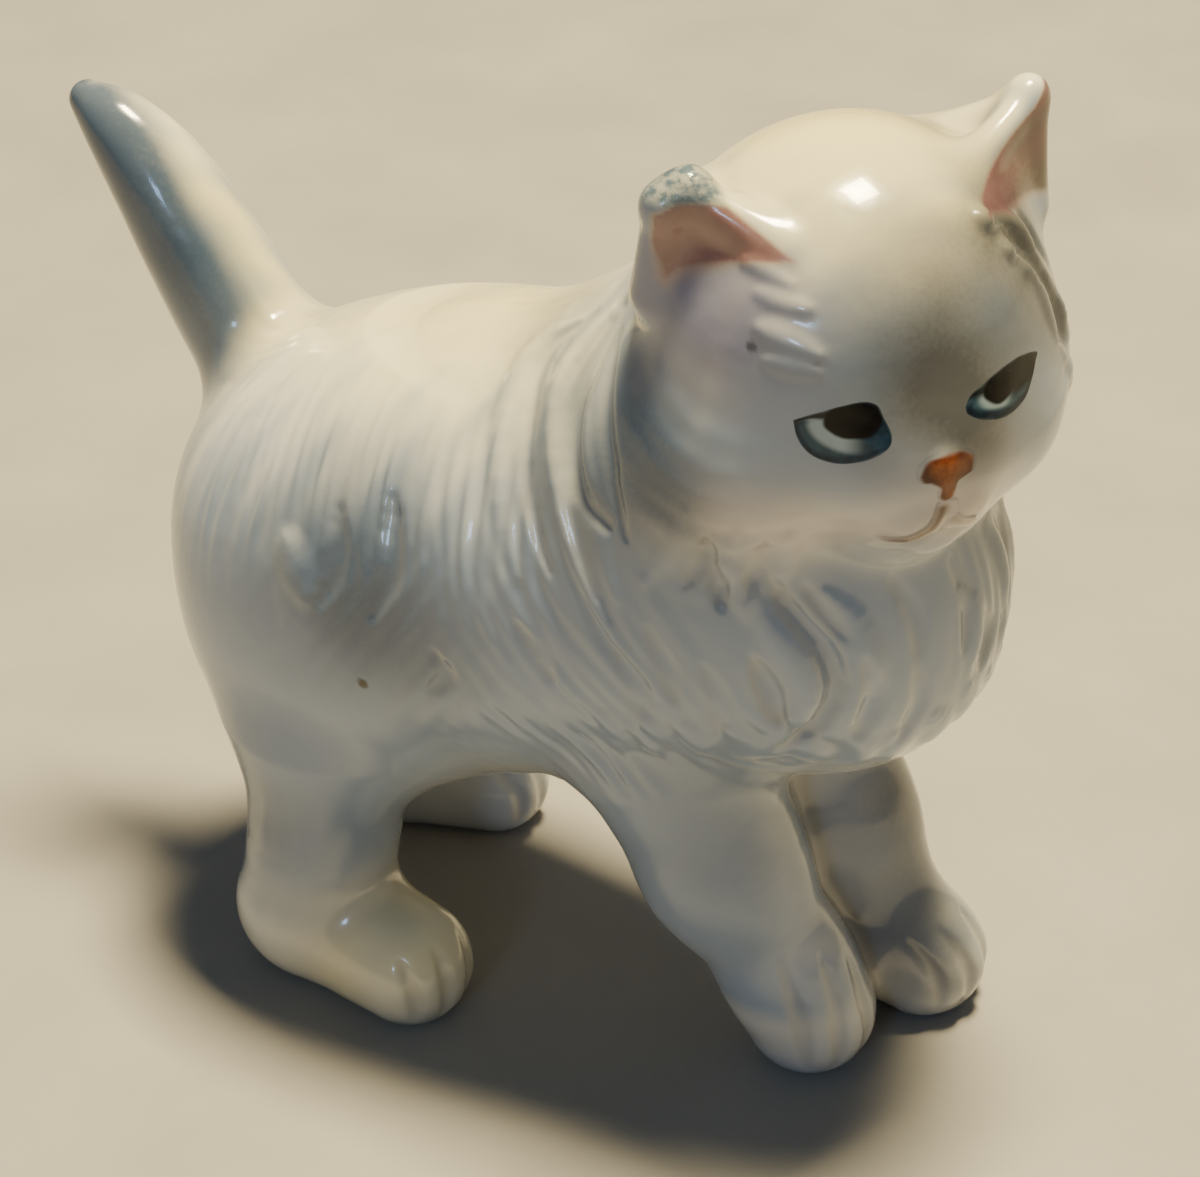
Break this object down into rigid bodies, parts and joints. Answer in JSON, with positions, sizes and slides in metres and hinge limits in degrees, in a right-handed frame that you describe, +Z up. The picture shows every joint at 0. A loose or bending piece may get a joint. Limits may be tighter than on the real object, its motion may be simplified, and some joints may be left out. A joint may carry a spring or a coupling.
{
  "type": "ceramic cat figurine",
  "caption": "Glazed ceramic kitten in a walking stance, tail raised and head turned to its right, standing on flat soles with painted eyes, nose and mouth.",
  "frame": {"origin": "middle of the kitten's box in plan, on the plane its four soles stand on", "axes": "+X the way the body walks, +Y to the kitten's left, +Z up"},
  "size_m": [0.0786, 0.0338, 0.075],
  "materials": {
    "glazed_body": "warm white clay under a thick clear glaze, airbrushed blue-grey on the tail, flank and forehead",
    "eye_enamel": "raised glossy black and blue-grey enamel",
    "nose_enamel": "raised glossy orange-brown enamel"
  },
  "bodies": {
    "root": {"torso": "glazed_body", "head": "glazed_body", "ear_right": "glazed_body", "ear_left": "glazed_body", "tail": "glazed_body", "leg_front_right": "glazed_body", "leg_front_left": "glazed_body", "leg_hind_right": "glazed_body", "leg_hind_left": "glazed_body", "eye_right": "eye_enamel", "eye_left": "eye_enamel", "nose": "nose_enamel", "mouth": "nose_enamel"}
  },
  "joints": []
}
